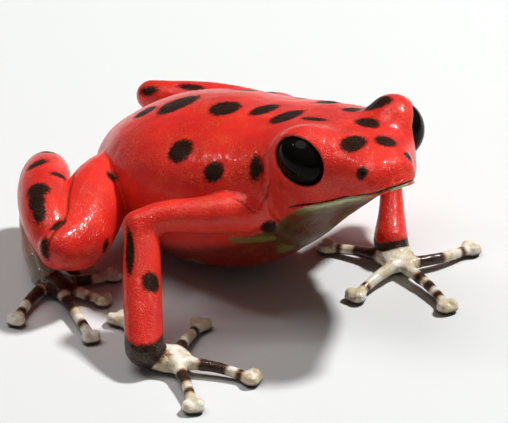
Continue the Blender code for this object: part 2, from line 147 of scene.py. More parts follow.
# Each digit's middle line, from the palm or sole to the middle of its disc.
DIGITS = {
    "hand_right": (
        ((10.1, -10.3, 0.55), (8.2, -9.8, 0.45), (5.9, -9.2, 0.25)),
        ((10.3, -10.1, 0.55), (9.7, -8.8, 0.48), (9.05, -7.1, 0.25)),
        ((11.1, -10.3, 0.55), (12.5, -9.5, 0.45), (13.85, -9.0, 0.25)),
        ((11.1, -10.8, 0.55), (12.4, -11.6, 0.45), (13.55, -12.45, 0.25)),
    ),
    "hand_left": (
        ((11.7, 3.0, 0.55), (10.2, 2.8, 0.45), (8.65, 2.3, 0.25)),
        ((12.4, 2.5, 0.55), (12.5, 1.1, 0.48), (12.6, -0.2, 0.25)),
        ((13.1, 2.9, 0.55), (14.7, 2.5, 0.45), (16.3, 1.85, 0.25)),
        ((12.9, 3.5, 0.55), (13.5, 5.0, 0.45), (13.75, 6.65, 0.25)),
    ),
    "foot_right": (
        ((1.3, -8.7, 0.50), (1.6, -7.8, 0.42), (1.7, -6.9, 0.25)),
        ((1.9, -8.7, 0.50), (2.5, -7.7, 0.42), (2.9, -6.5, 0.25)),
        ((2.2, -9.0, 0.50), (3.2, -8.8, 0.42), (4.1, -8.45, 0.25)),
        ((2.0, -9.3, 0.50), (3.6, -10.0, 0.45), (6.0, -11.2, 0.25)),
        ((1.4, -9.4, 0.50), (1.8, -10.9, 0.42), (2.4, -12.35, 0.25)),
    ),
}
# The left foot is the right one, mirrored and moved this far forward and to the left.
FOOT_SHIFT = (-1.0, -1.5)
# A digit's radius at shares of its length.
DIGIT_STEP = 0.25
DIGIT_SHARES = (0.0, 0.45, 0.8, 1.0)
DIGIT_RADII = (0.30, 0.25, 0.24, 0.27)
PALM_BLEND = 0.45
DIGIT_BLEND = 0.30
# Each disc has a middle, two lobes beyond it and two scutes on top: half sizes, how far forward, aside and up
# from the disc's middle, and how softly they run into the rest.
DISC_HALF_SIZES = (0.48, 0.40, 0.24)
DISC_BLEND = 0.14
DISC_PAIRS = (
    ((0.38, 0.32, 0.23), (0.13, 0.20, 0.0), 0.16),
    ((0.30, 0.24, 0.17), (0.12, 0.27, 0.18), 0.05),
)
FOOT_DISC_SCALE = 0.85

# Dark bands on each digit, as shares of its length from the palm.
BANDS = {
    "hand_right": (((0.10, 0.55),), ((0.10, 0.30), (0.70, 0.78)), ((0.22, 0.62), (0.82, 0.88)),
                   ((0.22, 0.48), (0.68, 0.75))),
    "hand_left": (((0.18, 0.56), (0.78, 0.84)), ((0.73, 0.78),),
                  ((0.25, 0.36), (0.48, 0.60), (0.74, 0.82)), ((0.08, 0.46), (0.80, 0.85))),
    "foot_right": (((0.2, 0.6),), ((0.2, 0.5),), ((0.15, 0.35), (0.66, 0.73)), ((0.28, 0.50), (0.76, 0.82)),
                   ((0.20, 0.58), (0.80, 0.87))),
}
BANDS["foot_left"] = BANDS["foot_right"]

# Dark spots: the two ends of each, and its half width.
SPOTS = (
    ((5.3, -5.0, 6.7), (5.7, -4.0, 7.4), 0.62),
    ((7.6, -5.1, 6.6), (8.1, -4.5, 7.3), 0.50),
    ((5.0, -2.0, 7.9), (5.8, -0.7, 8.1), 0.75),
    ((2.4, -2.7, 7.2), (3.0, -0.6, 7.5), 0.70),
    ((0.8, -2.6, 6.4), (1.6, -2.0, 7.0), 0.45),
    ((10.0, -4.4, 7.1), (9.6, -3.8, 8.0), 0.31),
    ((7.1, -1.5, 8.3), (7.6, -0.1, 8.5), 0.50),
    ((8.7, -1.9, 8.6), (9.4, -0.4, 8.9), 0.55),
    ((10.0, -1.2, 9.0), (11.4, -1.0, 9.4), 0.20),
    ((11.0, 0.5, 9.0), (11.9, 1.0, 9.2), 0.40),
    ((3.2, 1.3, 7.2), (4.6, 1.8, 7.4), 0.55),
    ((8.9, 1.2, 8.6), (10.0, 1.5, 8.7), 0.50),
    ((6.8, 1.9, 7.9), (7.8, 2.0, 8.0), 0.50),
    ((5.2, 3.4, 6.8), (6.2, 3.2, 7.0), 0.60),
    ((0.9, 1.0, 5.8), (1.8, 1.3, 6.0), 0.50),
    ((8.0, 3.3, 7.0), (8.8, 3.4, 6.8), 0.50),
    ((-1.2, -0.9, 4.4), (-0.6, -0.3, 4.8), 0.50),
    ((11.8, 0.8, 9.6), (13.3, 1.2, 10.3), 0.46),
    ((12.5, -0.3, 9.6), (13.8, -0.3, 9.7), 0.42),
    ((14.0, -2.8, 9.5), (13.9, -1.5, 9.6), 0.56),
    ((14.4, -1.1, 9.6), (15.4, -1.0, 9.5), 0.45),
    ((10.4, -4.25, 4.6), (10.8, -4.05, 5.0), 0.36),
    ((6.4, -9.0, 5.2), (7.6, -10.2, 3.7), 0.26),
    ((8.3, -9.5, 3.8), (8.8, -10.1, 3.2), 0.45),
    ((1.7, -5.4, 5.0), (2.2, -5.5, 4.7), 0.20),
    ((4.0, -8.0, 3.3), (4.1, -8.2, 2.7), 0.25),
    ((-1.4, -7.6, 4.7), (-1.2, -6.5, 4.9), 0.34),
    ((-0.1, -7.4, 5.0), (0.1, -6.6, 4.5), 0.20),
    ((-0.1, -8.9, 4.7), (1.0, -8.7, 4.9), 0.52),
    ((0.4, -8.9, 4.75), (1.5, -9.8, 4.45), 0.42),
    ((0.9, -9.2, 4.7), (1.9, -10.2, 4.3), 0.32),
    ((-2.6, -5.9, 4.6), (-1.9, -5.0, 4.6), 0.22),
    ((-1.9, -7.6, 4.1), (-2.5, -6.8, 4.2), 0.22),
    ((2.7, -10.3, 4.2), (2.7, -9.3, 4.4), 0.24),
    ((2.7, -10.7, 4.0), (3.2, -11.0, 3.2), 0.28),
    ((-5.2, 4.1, 3.1), (-4.3, 4.5, 3.3), 0.26),
    ((-3.6, 5.0, 3.6), (-2.4, 5.6, 3.7), 0.20),
    ((10.9, 4.4, 2.8), (10.8, 4.8, 2.9), 0.15),
    ((0.8, 6.2, 4.3), (1.4, 6.8, 4.0), 0.35),
    ((-0.8, 7.6, 3.4), (0.2, 7.9, 3.2), 0.30),
    ((9.0, 5.4, 6.0), (9.0, 6.2, 5.7), 0.28),
)
# Places where the cream is stained brown, and how far round them.
STAINS = (((9.6, -11.2, 0.9), 0.9), ((9.2, -10.4, 0.7), 0.7), ((10.2, -11.1, 0.9), 0.7))
# How far the cream reaches round a digit's middle line, and how far from the hands and feet the bands end.
DIGIT_REACH = 0.3
BANDS_REACH = 0.75
# The dark root of each toe, as a share of its length, and how deep in a dark band each sole is.
TOE_ROOT = 0.16
SOLE_BAND = 0.5
# On the left the cream begins more sharply.
LEFT_EDGE = 1.7
# The dark right wrist: its middle, how far it reaches and how high.
WRIST = ((9.6, -11.5, 1.0), 1.7, 1.62)
# The narrow pale streak on the side of the chest, under the arm.
STREAK = ((8.97, -4.82, 3.79), (9.86, -4.24, 3.88), (10.52, -3.81, 4.06))
# Folds of the skin, each with the radius of its groove: two round the shoulder, the slit behind the eye, and
# the line between the thigh and the shank.
FOLDS = (
    (((9.1, -5.25, 6.45), (9.82, -5.27, 6.42), (10.3, -5.22, 6.25), (10.65, -5.10, 6.05),
      (10.85, -4.85, 5.90)), 0.045),
    (((10.75, -4.70, 6.05), (10.66, -4.55, 6.30), (10.62, -4.35, 6.65), (10.70, -4.35, 7.30)), 0.05),
    (((11.24, -4.16, 7.80), (11.42, -4.27, 7.50), (11.30, -4.25, 6.95)), 0.04),
    (((0.12, -6.25, 4.75), (1.47, -7.90, 4.68), (2.46, -9.05, 4.45), (2.85, -9.95, 4.28),
      (3.03, -10.70, 4.03), (3.12, -11.02, 3.40)), 0.07),
)
FOLD_FADE = 6.0
# How far from the body its own markings reach.
BODY_REACH = 0.25
# Where the line of the mouth would go on behind its corners, written like the mouth itself.
MOUTH_BEHIND = (7.0, 20.0)
# Values that stand for far outside and far inside.
OUTSIDE = 9.0
INSIDE = -9.0

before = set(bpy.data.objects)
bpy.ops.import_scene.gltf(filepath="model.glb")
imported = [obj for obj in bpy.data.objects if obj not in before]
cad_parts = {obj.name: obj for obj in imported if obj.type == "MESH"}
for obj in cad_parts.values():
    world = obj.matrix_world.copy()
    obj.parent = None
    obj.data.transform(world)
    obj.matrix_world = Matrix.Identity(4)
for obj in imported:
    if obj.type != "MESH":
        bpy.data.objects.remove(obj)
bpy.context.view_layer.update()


def smooth_path(points, step):
    """Points about a step apart on a smooth curve through the given ones, with all their columns."""
    points = np.array(points, dtype=float)
    lengths = np.linalg.norm(np.diff(points[:, :3], axis=0), axis=1)
    along = np.concatenate(([0.0], np.cumsum(lengths)))
    slopes = np.gradient(points, along, axis=0)
    at = np.linspace(0.0, along[-1], max(3, round(along[-1] / step) + 1))
    span = np.clip(np.searchsorted(along, at, side="right") - 1, 0, len(points) - 2)
    length = lengths[span][:, None]
    t = (at - along[span])[:, None] / length
    start = points[span] * (1.0 + 2.0 * t) * (1.0 - t) ** 2 + slopes[span] * length * t * (1.0 - t) ** 2
    end = points[span + 1] * t * t * (3.0 - 2.0 * t) + slopes[span + 1] * length * t * t * (t - 1.0)
    return start + end


def path_directions(points):
    """Unit directions along a path."""
    directions = np.gradient(np.array(points)[:, :3], axis=0)
    return directions / np.linalg.norm(directions, axis=1)[:, None]


def smooth_min(a, b, soft):
    """The nearer of two distances, with the corner between them rounded."""
    h = np.maximum(soft - np.abs(a - b), 0.0) / soft
    return np.minimum(a, b) - h * h * soft * 0.25


class Spine:
    """The line that the body is built round, with its sections."""

    def __init__(self):
        rows = smooth_path(SPINE, SPINE_STEP)
        self.rows = rows
        self.at = np.concatenate(([0.0], np.cumsum(np.linalg.norm(np.diff(rows[:, :3], axis=0), axis=1))))
        self.length = self.at[-1]
        self.forward = path_directions(rows)
        up = UP - self.forward * self.forward[:, 2:3]
        self.up = up / np.linalg.norm(up, axis=1)[:, None]
        self.side = np.cross(self.up, self.forward)

    def sample(self, values, s):
        """One column of the spine at distances from the vent."""
        place = np.clip(s / self.length, 0.0, 1.0) * (len(values) - 1)
        low = np.minimum(place.astype(np.int32), len(values) - 2)
        share = place - low
        values = values.astype(np.float32)
        return values[low] * (1.0 - share) + values[low + 1] * share

    def local(self, p):
        """How far along the spine points lie, and how far to the left and up from it."""
        x = p[0]
        s = np.interp(x, self.rows[:, 0], self.at).astype(np.float32)
        for _ in range(4):
            offset = [q - self.sample(self.rows[:, i], s) for i, q in enumerate(p)]
            s = np.clip(s + sum(o * self.sample(self.forward[:, i], s) for i, o in enumerate(offset)),
                        0.0, self.length)
        offset = [q - self.sample(self.rows[:, i], s) for i, q in enumerate(p)]
        across, upward, along = [sum(o * self.sample(axis[:, i], s) for i, o in enumerate(offset))
                                 for axis in (self.side, self.up, self.forward)]
        return s, across, upward, along

    def distance(self, p):
        """About how far points are from the body's skin."""
        s, across, upward, along = self.local(p)
        width = self.sample(self.rows[:, 3], s)
        height = np.where(upward > 0.0, self.sample(self.rows[:, 4], s), self.sample(self.rows[:, 5], s))
        square = np.where(upward > 0.0, self.sample(self.rows[:, 6], s), self.sample(self.rows[:, 7], s))
        share = (np.abs(across / width) ** square + np.abs(upward / height) ** square) ** (1.0 / square)
        radial = np.hypot(across, upward) * (1.0 - 1.0 / np.maximum(share, 0.05))
        beyond = np.abs(along)
        outside = np.hypot(np.maximum(radial + END_ROUNDING, 0.0), beyond) - END_ROUNDING
        return np.where(beyond > 0.01, outside, radial)

    def point(self, s, angle):
        """The skin's point at an angle round the section at s, 0 on the frog's left and 90 on its back."""
        i = int(np.argmin(np.abs(self.at - s)))
        row = self.rows[i]
        cosine, sine = math.cos(math.radians(angle)), math.sin(math.radians(angle))
        square = row[6] if sine > 0.0 else row[7]
        height = row[4] if sine > 0.0 else row[5]
        across = row[3] * math.copysign(abs(cosine) ** (2.0 / square), cosine)
        upward = height * math.copysign(abs(sine) ** (2.0 / square), sine)
        return row[:3] + self.side[i] * across + self.up[i] * upward


def chain(rows):
    """A round tube through x, y, z and radius: its box and its distance."""
    rows = np.array(rows, dtype=np.float32)
    reach = rows[:, 3].max()

    def distance(p):
        best = None
        for a, b in zip(rows, rows[1:]):
            d = b[:3] - a[:3]
            square = float(d @ d) or 1e-9
            t = sum((q - a[i]) * d[i] for i, q in enumerate(p)) / square
            t = np.clip(t, 0.0, 1.0)
            away = np.sqrt(sum((q - a[i] - t * d[i]) ** 2 for i, q in enumerate(p)))
            away = away - (a[3] + t * (b[3] - a[3]))
            best = away if best is None else np.minimum(best, away)
        return best

    return rows[:, :3].min(0) - reach, rows[:, :3].max(0) + reach, distance


def ellipsoid(centre, axes, half_sizes):
    """A stretched sphere: its box and its distance."""
    centre, axes, half = np.array(centre), np.array(axes), np.array(half_sizes)
    reach = half.max()

    def distance(p):
        offset = [q - centre[i] for i, q in enumerate(p)]
        local = [sum(offset[j] * axes[i][j] for j in range(3)) for i in range(3)]
        near = np.sqrt(sum((local[i] / half[i]) ** 2 for i in range(3)))
        slope = np.sqrt(sum((local[i] / half[i] ** 2) ** 2 for i in range(3)))
        return near * (near - 1.0) / np.maximum(slope, 1e-6)

    return centre - reach, centre + reach, distance


def ball(centre, radius):
    """A sphere: its box and its distance."""
    centre = np.array(centre, dtype=float)
    return (centre - radius, centre + radius,
            lambda p: np.sqrt(sum((q - centre[i]) ** 2 for i, q in enumerate(p))) - radius)


def opening_shape(centre, axes):
    """The almond that the lids leave open: its box and its distance."""
    centre, axes = np.array(centre), np.array(axes)

    def distance(p):
        offset = [q - centre[i] for i, q in enumerate(p)]
        along, across, outward = [sum(offset[j] * axes[i][j] for j in range(3)) for i in range(3)]
        share = np.sqrt((along / OPENING_HALF_SIZES[0]) ** 2 + (across / OPENING_HALF_SIZES[1]) ** 2)
        return np.maximum((share - 1.0) * OPENING_HALF_SIZES[1], OPENING_DEPTH - outward)

    reach = 2.2
    return centre - reach, centre + reach, distance


def eye_axes(name):
    """The middle of an eye and its axes: the long way of its opening, across it, and the way it looks."""
    centre, look, long_way = [np.array(v) for v in EYES[name]]
    look = unit(look)
    long_way = unit(long_way - look * (long_way @ look))
    return centre, (long_way, np.cross(look, long_way), look)


class Field:
    """A grid of distances to the skin, negative inside."""

    def __init__(self, low, high):
        self.low = np.array(low, dtype=float)
        self.shape = tuple(int(math.ceil((b - a) / VOXEL)) + 1 for a, b in zip(low, high))
        self.values = np.full(self.shape, FAR, dtype=np.float32)

    def window(self, low, high, margin):
        """The part of the grid round a box, and its points."""
        first = [max(0, int((low[i] - margin - self.low[i]) / VOXEL)) for i in range(3)]
        last = [min(self.shape[i], int((high[i] + margin - self.low[i]) / VOXEL) + 2) for i in range(3)]
        cells = tuple(slice(a, b) for a, b in zip(first, last))
        lines = [(np.arange(a, b) * VOXEL + self.low[i]).astype(np.float32)
                 for i, (a, b) in enumerate(zip(first, last))]
        points = (lines[0][:, None, None], lines[1][None, :, None], lines[2][None, None, :])
        return cells, points

    def add(self, shape, soft):
        """Join a shape to the skin."""
        low, high, distance = shape
        cells, points = self.window(low, high, soft + 4.0 * VOXEL)
        self.values[cells] = smooth_min(self.values[cells], distance(points), soft)

    def cut(self, shape, soft):
        """Take a shape out of the skin."""
        low, high, distance = shape
        cells, points = self.window(low, high, soft + 4.0 * VOXEL)
        self.values[cells] = -smooth_min(-self.values[cells], distance(points), soft)

    def sample(self, p):
        """The distance at one point, and the way out of the skin there."""
        place = (np.array(p) - self.low) / VOXEL
        low = np.floor(place).astype(int)
        share = place - low
        block = self.values[low[0]:low[0] + 2, low[1]:low[1] + 2, low[2]:low[2] + 2].astype(float)
        slope = np.empty(3)
        for axis in range(3):
            rest = np.diff(block, axis=axis)
            for other in range(3):
                if other != axis:
                    weight = [1, 1, 1]
                    weight[other] = 2
                    rest = rest * np.array((1.0 - share[other], share[other])).reshape(weight)
            slope[axis] = rest.sum() / VOXEL
        for axis in range(3):
            weight = [1, 1, 1]
            weight[axis] = 2
            block = block * np.array((1.0 - share[axis], share[axis])).reshape(weight)
        return block.sum(), slope

    def onto(self, path):
        """A path moved onto the skin."""
        moved = np.array(path, dtype=float)
        for i in range(len(moved)):
            for _ in range(6):
                value, slope = self.sample(moved[i, :3])
                moved[i, :3] -= np.clip(value, -0.2, 0.2) * slope / max(float(slope @ slope), 0.25)
        return moved


def level_axes(direction):
    """Axes forward, to the left and up for a level direction."""
    forward = np.array((direction[0], direction[1], 0.0))
    forward = forward / np.linalg.norm(forward)
    return forward, np.array((-forward[1], forward[0], 0.0)), UP


def unit(vector):
    """A vector of length one."""
    vector = np.array(vector, dtype=float)
    return vector / np.linalg.norm(vector)


def digits_of(name):
    """The middle lines of the digits of one hand or foot."""
    if name != "foot_left":
        return DIGITS[name]
    return [[(x + FOOT_SHIFT[0], FOOT_SHIFT[1] - y, z) for x, y, z in line] for line in DIGITS["foot_right"]]


def limb_shape(name):
    """One length of limb."""
    return chain(smooth_path(LIMBS[name], LIMB_STEP))


def digit_rows(line):
    """A digit's middle line, thinner towards its disc."""
    rows = smooth_path(line, DIGIT_STEP)
    radius = np.interp(np.linspace(0.0, 1.0, len(rows)), DIGIT_SHARES, DIGIT_RADII)
    return np.column_stack((rows, radius))


def disc_shapes(line, scale):
    """The parts of the disc at a digit's tip, each with how softly it joins."""
    tip = np.array(line[-1])
    axes = level_axes(tip - np.array(line[-2]))
    wide = (scale, scale, 1.0)
    yield ellipsoid(tip, axes, np.array(DISC_HALF_SIZES) * wide), DISC_BLEND
    for half_sizes, (along, across, over), soft in DISC_PAIRS:
        for side in (-1.0, 1.0):
            place = tip + (axes[0] * along + axes[1] * across * side) * scale + axes[2] * over
            yield ellipsoid(place, axes, np.array(half_sizes) * wide), soft


def palm_shape(name):
    """A palm or sole."""
    centre, turn, half_sizes = PALMS[name]
    turn = math.radians(turn)
    return ellipsoid(centre, level_axes((math.cos(turn), math.sin(turn))), half_sizes)


def mouth_path(spine):
    """The line of the mouth, from its right corner round the snout to its left corner."""
    back, angles = np.array(MOUTH).T
    right, left = [], []
    for distance in np.linspace(back[-1], 0.0, 24):
        angle = np.interp(distance, back, angles)
        right.append(spine.point(spine.length - distance, 180.0 + angle))
        left.append(spine.point(spine.length - distance, -angle))
    front = (right[-1] + left[-1]) / 2.0 + spine.forward[-1] * MOUTH_FRONT
    return np.array(right + [front] + left[::-1])


def faded(path, radius, ends):
    """A path with a radius that falls off over its first and last points."""
    count = len(path)
    near = np.minimum(np.arange(count), np.arange(count)[::-1])
    return np.column_stack((path, radius * np.clip(0.3 + 0.7 * near / ends, 0.0, 1.0)))


def skin_field(spine):
    """The whole frog as one field of distances."""
    field = Field(GRID_LOW, GRID_HIGH)
    low = spine.rows[:, :3].min(0) - SPINE_MARGINS_BELOW
    high = spine.rows[:, :3].max(0) + SPINE_MARGINS_ABOVE
    cells, points = field.window(low, high, 0.3)
    shape = field.values[cells].shape
    flat = [np.broadcast_to(q, shape).ravel() for q in points]
    field.values[cells] = spine.distance(flat).reshape(shape).astype(np.float32)

    for name in EYES:
        centre, axes = eye_axes(name)
        long_half, moved, inward, soft = LIDS[name]
        lid_centre = centre - axes[2] * inward + axes[0] * moved
        field.add(ellipsoid(lid_centre, axes, (long_half, *LID_HALF_SIZES)), soft)
    mouth = smooth_path(field.onto(mouth_path(spine)), 0.1)
    for above, radius, soft in LIPS:
        field.add(chain(faded(mouth + UP * above, radius, 8.0)), soft)
    for start, soft in LIMB_BLENDS:
        for side in ("left", "right"):
            field.add(limb_shape(start + side), soft)
    for name in PALMS:
        field.add(palm_shape(name), PALM_BLEND)
        for line in digits_of(name):
            field.add(chain(digit_rows(line)), DIGIT_BLEND)
            for shape, soft in disc_shapes(line, FOOT_DISC_SCALE if name.startswith("foot") else 1.0):
                field.add(shape, soft)

    for name in EYES:
        centre, axes = eye_axes(name)
        field.cut(opening_shape(centre, axes), 0.10)
        field.cut(ellipsoid(centre, axes, np.array(EYE_HALF_SIZES) + EYE_ROOM), 0.02)
    field.cut(chain(faded(mouth, MOUTH_GROOVE, 5.0)), 0.05)
    for centre in field.onto(NOSTRILS):
        field.cut(ball(centre, NOSTRIL_RADIUS), 0.10)
    folds = [(field.onto(smooth_path(path, 0.1)), radius) for path, radius in FOLDS]
    for path, radius in folds:
        field.cut(chain(faded(path, radius, FOLD_FADE)), 0.08)
    cells, points = field.window(GRID_LOW, (*GRID_HIGH[:2], 0.2), 0.1)
    field.values[cells] = np.maximum(field.values[cells], -points[2])
    return field, mouth, folds


def mesh_from(field, name):
    """A smooth mesh on the zero level of a field."""
    grid = openvdb.FloatGrid(FAR)
    grid.copyFromArray(field.values)
    points, triangles, quads = grid.convertToPolygons(isovalue=0.0, adaptivity=0.0)
    points = points * VOXEL + field.low
    mesh = bpy.data.meshes.new(name)
    faces = [tuple(int(i) for i in face[::-1]) for group in (quads, triangles) for face in group]
    mesh.from_pydata(((points - MIDDLE) * MM).tolist(), [], faces)
    mesh.update()
    return mesh, points


spine = Spine()
field, mouth, folds = skin_field(spine)
mesh, points = mesh_from(field, "frog_skin")
skin = bpy.data.objects.new("frog_skin", mesh)
bpy.context.scene.collection.objects.link(skin)
mesh.shade_smooth()


def distance_to(p, centre):
    """How far points are from one place."""
    return np.sqrt(sum((q - centre[i]) ** 2 for i, q in enumerate(p)))


def least(distances):
    """The least of several distances, point by point."""
    return np.minimum.reduce(list(distances))


def distance_to_spots(p):
    """How far points are outside the nearest dark spot, negative inside."""
    best = np.full(len(p[0]), OUTSIDE)
    for start, end, half in SPOTS:
        start, end = np.array(start), np.array(end)
        middle, reach, way = (start + end) / 2.0, np.linalg.norm(end - start) / 2.0, unit(end - start)
        reach = max(reach, half)
        offset = [q - middle[i] for i, q in enumerate(p)]
        along = sum(o * way[i] for i, o in enumerate(offset))
        aside = np.maximum(sum(o * o for o in offset) - along * along, 0.0)
        share = np.sqrt((along / reach) ** 2 + aside / half ** 2)
        best = np.minimum(best, (share - 1.0) * math.sqrt(reach * half))
    return best


def attribute(name, values):
    """One number for each point of the skin."""
    layer = mesh.attributes.new(name, "FLOAT", "POINT")
    layer.data.foreach_set("value", np.ascontiguousarray(values, dtype=np.float32))


def near_rows(p, rows):
    """Distance from points to a path, and their share of its length."""
    rows = np.array(rows)[:, :3]
    lengths = np.linalg.norm(np.diff(rows, axis=0), axis=1)
    starts = np.concatenate(([0.0], np.cumsum(lengths)))
    best = np.full(len(p[0]), 99.0)
    share = np.zeros(len(p[0]))
    for a, b, start, length in zip(rows, rows[1:], starts, lengths):
        d = b - a
        t = np.clip(sum((q - a[i]) * d[i] for i, q in enumerate(p)) / max(float(d @ d), 1e-9), 0.0, 1.0)
        away = np.sqrt(sum((q - a[i] - t * d[i]) ** 2 for i, q in enumerate(p)))
        nearer = away < best
        best = np.where(nearer, away, best)
        share = np.where(nearer, (start + t * length) / starts[-1], share)
    return best, share


def lumps(p, wave, count, seed):
    """Smooth lumps between about -1 and 1, in waves of a given length."""
    chance = np.random.default_rng(seed)
    total = np.zeros(len(p[0]))
    for _ in range(count):
        way = unit(chance.normal(size=3)) * 2.0 * math.pi / (wave * chance.uniform(0.75, 1.35))
        total += np.sin(sum(q * way[i] for i, q in enumerate(p)) + chance.uniform(0.0, 6.3))
    return total / math.sqrt(count)


def roughen(p, s, across, lid):
    """Raise small lumps on the skin and a few soft pleats between the shoulder and the eye."""
    normals = np.empty(len(points) * 3)
    mesh.vertices.foreach_get("normal", normals)
    rise = sum(height * lumps(p, *waves) for height, *waves in (LUMPS, GRANULES))
    pleats = np.sin(2.0 * math.pi * s / PLEAT_PITCH + 1.2 * lumps(p, 2.5, 6, 9))
    window = np.exp(-((s - PLEATS_AT) / PLEATS_REACH) ** 2)
    window = window * np.clip(np.abs(across) - PLEATS_ASIDE, 0.0, 1.0)
    rise += PLEATS * pleats * window
    # the skin stays smooth on the floor and at the rims of the lids
    rise *= np.clip((p[2] - 0.03) / 0.25, 0.0, 1.0) * np.clip((lid - 0.1) / 0.3, 0.0, 1.0)
    moved = points + normals.reshape(-1, 3) * rise[:, None]
    mesh.vertices.foreach_set("co", ((moved - MIDDLE) * MM).ravel())
    mesh.update()


def hand_and_foot_marks(p):
    """How far points are from the hands and feet, and how deep they are in a dark band near one."""
    pale = np.full(len(p[0]), OUTSIDE)
    band = np.full(len(p[0]), INSIDE)
    nearest = np.full(len(p[0]), OUTSIDE)
    for name in PALMS:
        foot = name.startswith("foot")
        palm = palm_shape(name)[2](p)
        pale = np.minimum(pale, palm)
        for line, bands in zip(digits_of(name), BANDS[name]):
            rows = digit_rows(line)
            away, share = near_rows(p, rows)
            away = np.minimum(away, distance_to(p, line[-1]) - DIGIT_REACH)
            pale = np.minimum(pale, away - DIGIT_REACH)
            length = np.linalg.norm(np.diff(rows[:, :3], axis=0), axis=1).sum()
            depth = (TOE_ROOT - share) * length if foot else np.full(len(p[0]), INSIDE)
            for first, last in bands:
                aside = np.abs(share - (first + last) / 2.0)
                depth = np.maximum(depth, ((last - first) / 2.0 - aside) * length)
            nearer = away < nearest
            band = np.where(nearer, depth, band)
            nearest = np.where(nearer, away, nearest)
        if foot:
            nearer = palm < nearest - DIGIT_REACH
            band = np.where(nearer, SOLE_BAND, band)
            nearest = np.where(nearer, palm, nearest)
    return pale, np.where(nearest < BANDS_REACH, band, -2.0)


p = [points[:, i] for i in range(3)]
body_away = spine.distance(p)
on_body = body_away < BODY_REACH
attribute("spot", distance_to_spots(p))
attribute("height", points[:, 2])

# Where the cream of the hands and feet begins, its bands and its stains, the dark wrist and the pale streak.
pale_parts, band = hand_and_foot_marks(p)
red_parts = least([body_away, *(limb_shape(name)[2](p) for name in LIMBS)])
cream = red_parts - pale_parts
cream = np.where((cream < 0.0) & (p[1] > 0.0), cream * LEFT_EDGE, cream)
attribute("cream", np.clip(cream, -2.0, 2.0))
attribute("band", np.clip(band, -2.0, 2.0))
stain = least(distance_to(p, centre) - reach for centre, reach in STAINS)
attribute("stain", np.clip(stain, -2.0, 2.0))
centre, reach, top = WRIST
attribute("wrist", np.clip(np.maximum(distance_to(p, centre) - reach, p[2] - top), -2.0, 2.0))
streak, _ = near_rows(p, smooth_path(STREAK, 0.2))
attribute("streak", np.clip(np.where(on_body, streak, 2.0), 0.0, 2.0))

# How far below the line of the mouth and how far along the body, for the throat and the belly.
s, across, upward, _ = spine.local(p)
back, angles = np.array(MOUTH + (MOUTH_BEHIND,)).T
angle = np.radians(np.interp(spine.length - s, back, angles))
depth, square = spine.sample(spine.rows[:, 5], s), spine.sample(spine.rows[:, 7], s)
under = -depth * np.sin(angle) ** (2.0 / square) - upward
attribute("under_mouth", np.clip(np.where(on_body, under, -3.0), -3.0, 3.0))
attribute("along", s / spine.length)

# The line of the mouth, the folds, the lids, the nostrils and the tarsi.
mouth_away, _ = near_rows(p, mouth)
attribute("mouth", np.clip(mouth_away, 0.0, 2.0))
fold = least(chain(faded(path, radius, FOLD_FADE))[2](p) for path, radius in folds)
attribute("fold", np.clip(fold, -1.0, 2.0))
lid = least(ellipsoid(*eye_axes(name), EYE_HALF_SIZES)[2](p) for name in EYES)
attribute("lid", np.clip(lid, -1.0, 2.0))
nostril = least(distance_to(p, centre) for centre in NOSTRILS)
attribute("nostril", np.clip(nostril, 0.0, 2.0))
tarsi, shanks = [least(limb_shape(kind + side)[2](p) for side in ("right", "left"))
                 for kind in ("tarsus_", "shank_")]
attribute("tarsus", np.clip(shanks - tarsi, -2.0, 2.0))
roughen(p, s, across, lid)


